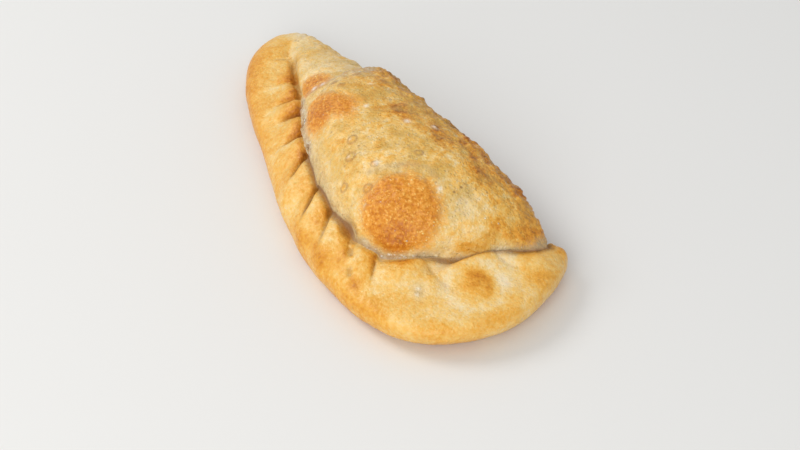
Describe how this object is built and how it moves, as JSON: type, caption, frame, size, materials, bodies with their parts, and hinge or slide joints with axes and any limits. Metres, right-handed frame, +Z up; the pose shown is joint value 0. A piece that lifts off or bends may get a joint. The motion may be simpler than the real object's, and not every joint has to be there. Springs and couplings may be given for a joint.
{
  "type": "empanada",
  "caption": "Fried half-moon empanada with a puffed filled pocket, a rope-folded sealed rim and a broad pressed flap at one end, resting flat.",
  "frame": {"origin": "centre of the outline's box, on the flat underside", "axes": "+X along the length towards the broad flap, +Y towards the folded spine, -Y towards the sealed rim, +Z up"},
  "size_m": [0.1807, 0.075, 0.0382],
  "materials": {
    "dough": "fried dough, pale golden with browned blisters, lightly oily"
  },
  "bodies": {
    "root": {"empanada": "dough"}
  },
  "joints": []
}
